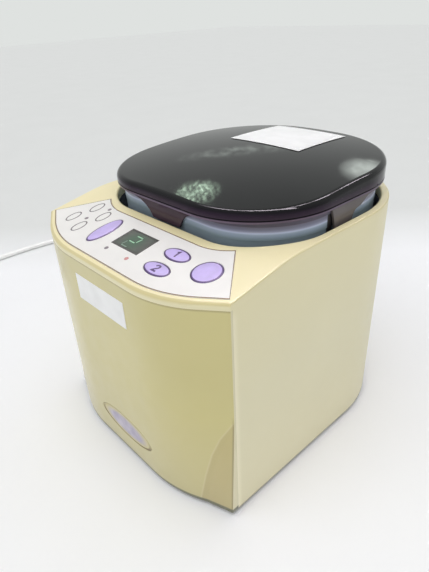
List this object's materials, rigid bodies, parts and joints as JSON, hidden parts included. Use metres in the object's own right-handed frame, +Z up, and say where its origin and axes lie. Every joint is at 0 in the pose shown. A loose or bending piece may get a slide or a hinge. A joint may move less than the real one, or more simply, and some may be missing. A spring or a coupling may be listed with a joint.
{
  "type": "yogurt maker",
  "caption": "Table-top yogurt maker: heated casing with bowed front and sloping key panel, lift-out container under a domed lid, mains cord with plug",
  "frame": {"origin": "on the table, under the middle of the casing's bounding box", "axes": "+Z up, front with the key panel towards -Y, +X to the right seen from the front"},
  "size_m": [0.5243, 0.4169, 0.2088],
  "materials": {
    "front": "satin gold-beige moulding",
    "housing": "satin cream moulding",
    "panel": "satin white printed sheet",
    "display": "smoked clear window",
    "digits": "dark display block",
    "key": "soft lavender",
    "lamp": "clear tinted resin",
    "lid": "high gloss dark smoke",
    "container": "frosted translucent",
    "gasket": "soft silicone",
    "foot": "matt",
    "label": "plain white film",
    "badge": "plain oval plate",
    "base": "fine texture",
    "chamber": "drawn, satin",
    "plate": "cast, matt",
    "element": "oxidised sheath",
    "pan": "zinc plated",
    "insulation": "felted fibre",
    "screw": "zinc plated",
    "board": "green laminate",
    "switch": "moulded black",
    "sensor": "bright",
    "clip": "spring strip",
    "fuse_body": "glazed",
    "core": "varnished laminations",
    "relay": "moulded blue",
    "terminal": "moulded",
    "wire": "soft sheath",
    "cord": "soft white sheath",
    "tie": "flat strip",
    "blade": "bright"
  },
  "bodies": {
    "casing": {"front_cover": "front", "housing": "housing", "base_plate": "base", "rubber_feet": "foot", "base_screws": "screw", "control_overlay": "panel", "display_window": "display", "control_board": "board", "digit_display": "digits", "tact_switches": "switch", "indicator_lamps": "lamp", "board_screws": "screw", "heating_chamber": "chamber", "chamber_gasket": "gasket", "heater_plate": "plate", "heater_element": "element", "insulation_pad": "insulation", "heater_pan": "pan", "thermistor": "sensor", "thermistor_clip": "clip", "fuse_clip": "clip", "thermal_fuse": "fuse_body", "power_board": "board", "transformer": "core", "relay": "relay", "terminal_block": "terminal", "ribbon_cable": "wire", "mains_lead": "wire", "front_label": "label", "front_badge": "badge", "power_cord": "cord", "cord_coil": "cord", "cord_tie": "tie", "cord_plug": "cord", "plug_blades": "blade", "cord_bushing": "cord"},
    "container": {"container": "container"},
    "lid": {"lid": "lid", "lid_gasket": "gasket", "lid_label": "label"},
    "key_cancel": {"key_cancel": "key"},
    "key_start_1": {"key_start_1": "key"},
    "key_start_2": {"key_start_2": "key"},
    "key_menu": {"key_menu": "key"}
  },
  "joints": [
    {"name": "container_lift", "type": "slide", "parent": "casing", "child": "container", "axis": [0, 0, 1], "range_m": [0, 0.165]},
    {"name": "lid_lift", "type": "slide", "parent": "container", "child": "lid", "axis": [0, 0, 1], "range_m": [0, 0.1]},
    {"name": "cancel_key_press", "type": "slide", "parent": "casing", "child": "key_cancel", "axis": [0, -0.1886, 0.9821], "range_m": [-0.0005, 0], "stiffness_N_per_m": 2500, "springref_m": 0.0001},
    {"name": "start_1_key_press", "type": "slide", "parent": "casing", "child": "key_start_1", "axis": [0, -0.1886, 0.9821], "range_m": [-0.0005, 0], "stiffness_N_per_m": 2500, "springref_m": 0.0001},
    {"name": "start_2_key_press", "type": "slide", "parent": "casing", "child": "key_start_2", "axis": [0, -0.1886, 0.9821], "range_m": [-0.0005, 0], "stiffness_N_per_m": 2500, "springref_m": 0.0001},
    {"name": "menu_key_press", "type": "slide", "parent": "casing", "child": "key_menu", "axis": [0, -0.1886, 0.9821], "range_m": [-0.0005, 0], "stiffness_N_per_m": 2500, "springref_m": 0.0001}
  ]
}
